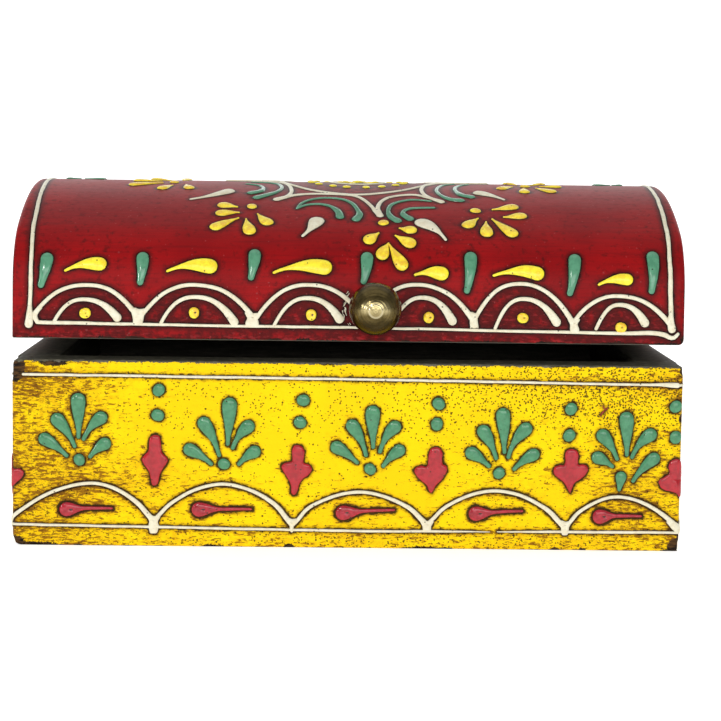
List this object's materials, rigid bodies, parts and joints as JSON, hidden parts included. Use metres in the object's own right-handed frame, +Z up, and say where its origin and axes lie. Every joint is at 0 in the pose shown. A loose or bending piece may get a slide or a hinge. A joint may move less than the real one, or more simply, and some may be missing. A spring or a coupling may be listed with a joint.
{
  "type": "keepsake box",
  "caption": "Wooden keepsake box with a vaulted lid on brass butt hinges and a brass ball knob, painted with raised folk ornament.",
  "frame": {"origin": "centre of the base underside, where the box rests", "axes": "+X along the box's length to the right, the front with the knob faces -Y, +Z up"},
  "size_m": [0.152, 0.1191, 0.0822],
  "materials": {
    "yellow_painted_wood": "yellow paint, antiqued with brown glaze, raised painted ornament",
    "red_painted_wood": "deep red paint with a satin sheen, raised painted ornament",
    "black_painted_wood": "matt black paint",
    "antique_brass": "antiqued brass",
    "mild_steel": "bright steel"
  },
  "bodies": {
    "base": {"base_front_wall": "yellow_painted_wood", "base_back_wall": "yellow_painted_wood", "base_left_wall": "yellow_painted_wood", "base_right_wall": "yellow_painted_wood", "base_bottom_panel": "black_painted_wood", "base_corner_nails": "mild_steel", "base_bottom_brads": "mild_steel", "hinge_base_screws": "antique_brass", "left_hinge_base_leaf": "antique_brass", "right_hinge_base_leaf": "antique_brass", "left_hinge_pin": "antique_brass", "right_hinge_pin": "antique_brass"},
    "lid": {"hinge_lid_screws": "antique_brass", "left_hinge_lid_leaf": "antique_brass", "right_hinge_lid_leaf": "antique_brass", "knob_screw": "mild_steel", "knob_washer": "mild_steel", "brass_knob": "antique_brass", "lid_vault_shell": "red_painted_wood", "lid_front_rail": "red_painted_wood", "lid_back_rail": "red_painted_wood", "lid_left_end": "red_painted_wood", "lid_right_end": "red_painted_wood", "lid_rail_nails": "mild_steel", "lid_arch_brads": "mild_steel"}
  },
  "joints": [
    {"name": "lid_hinge", "type": "hinge", "parent": "base", "child": "lid", "pos_m": [0, 0.0531, 0.0426], "axis": [-1, 0, 0], "range_deg": [-2.53, 177.47]}
  ]
}
